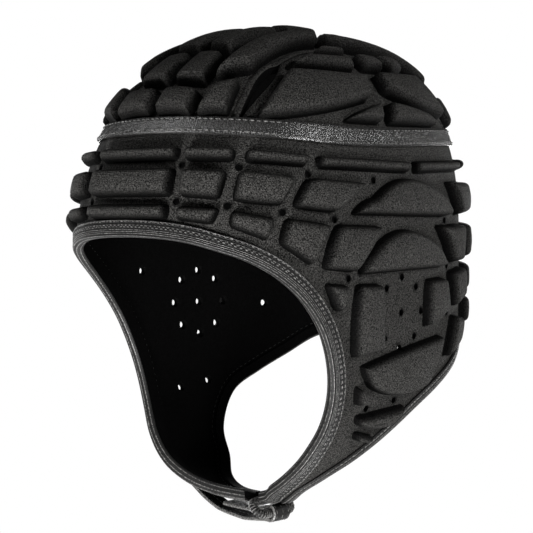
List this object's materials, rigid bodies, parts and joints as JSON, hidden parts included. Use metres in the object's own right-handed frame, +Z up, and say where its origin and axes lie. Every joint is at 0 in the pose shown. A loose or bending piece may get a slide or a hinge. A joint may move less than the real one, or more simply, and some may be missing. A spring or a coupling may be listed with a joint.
{
  "type": "rugby scrum cap",
  "caption": "Padded cloth scrum cap with raised foam pads, ear flaps, webbing round the crown, bound edges and a chin strap through a wrapped loop.",
  "frame": {"origin": "inner face of the crown at its top, where the cap sits on the head", "axes": "+X to the wearer's left, -Y to the face, +Z up"},
  "size_m": [0.1542, 0.216, 0.2416],
  "materials": {
    "padded_cloth": "knit cloth bonded over moulded foam, near black",
    "webbing": "ribbed woven tape with a slight sheen, near black",
    "edging": "stretch binding tape with rows of stitching, near black",
    "thread": "cord wrapped in thread, near black"
  },
  "bodies": {
    "root": {"lower_shell": "padded_cloth", "crown_strip": "padded_cloth", "crown_side_left": "padded_cloth", "crown_side_right": "padded_cloth", "crown_tape": "webbing", "face_binding": "edging", "nape_binding": "edging", "strap_loop": "thread", "chin_strap": "edging"}
  },
  "joints": []
}
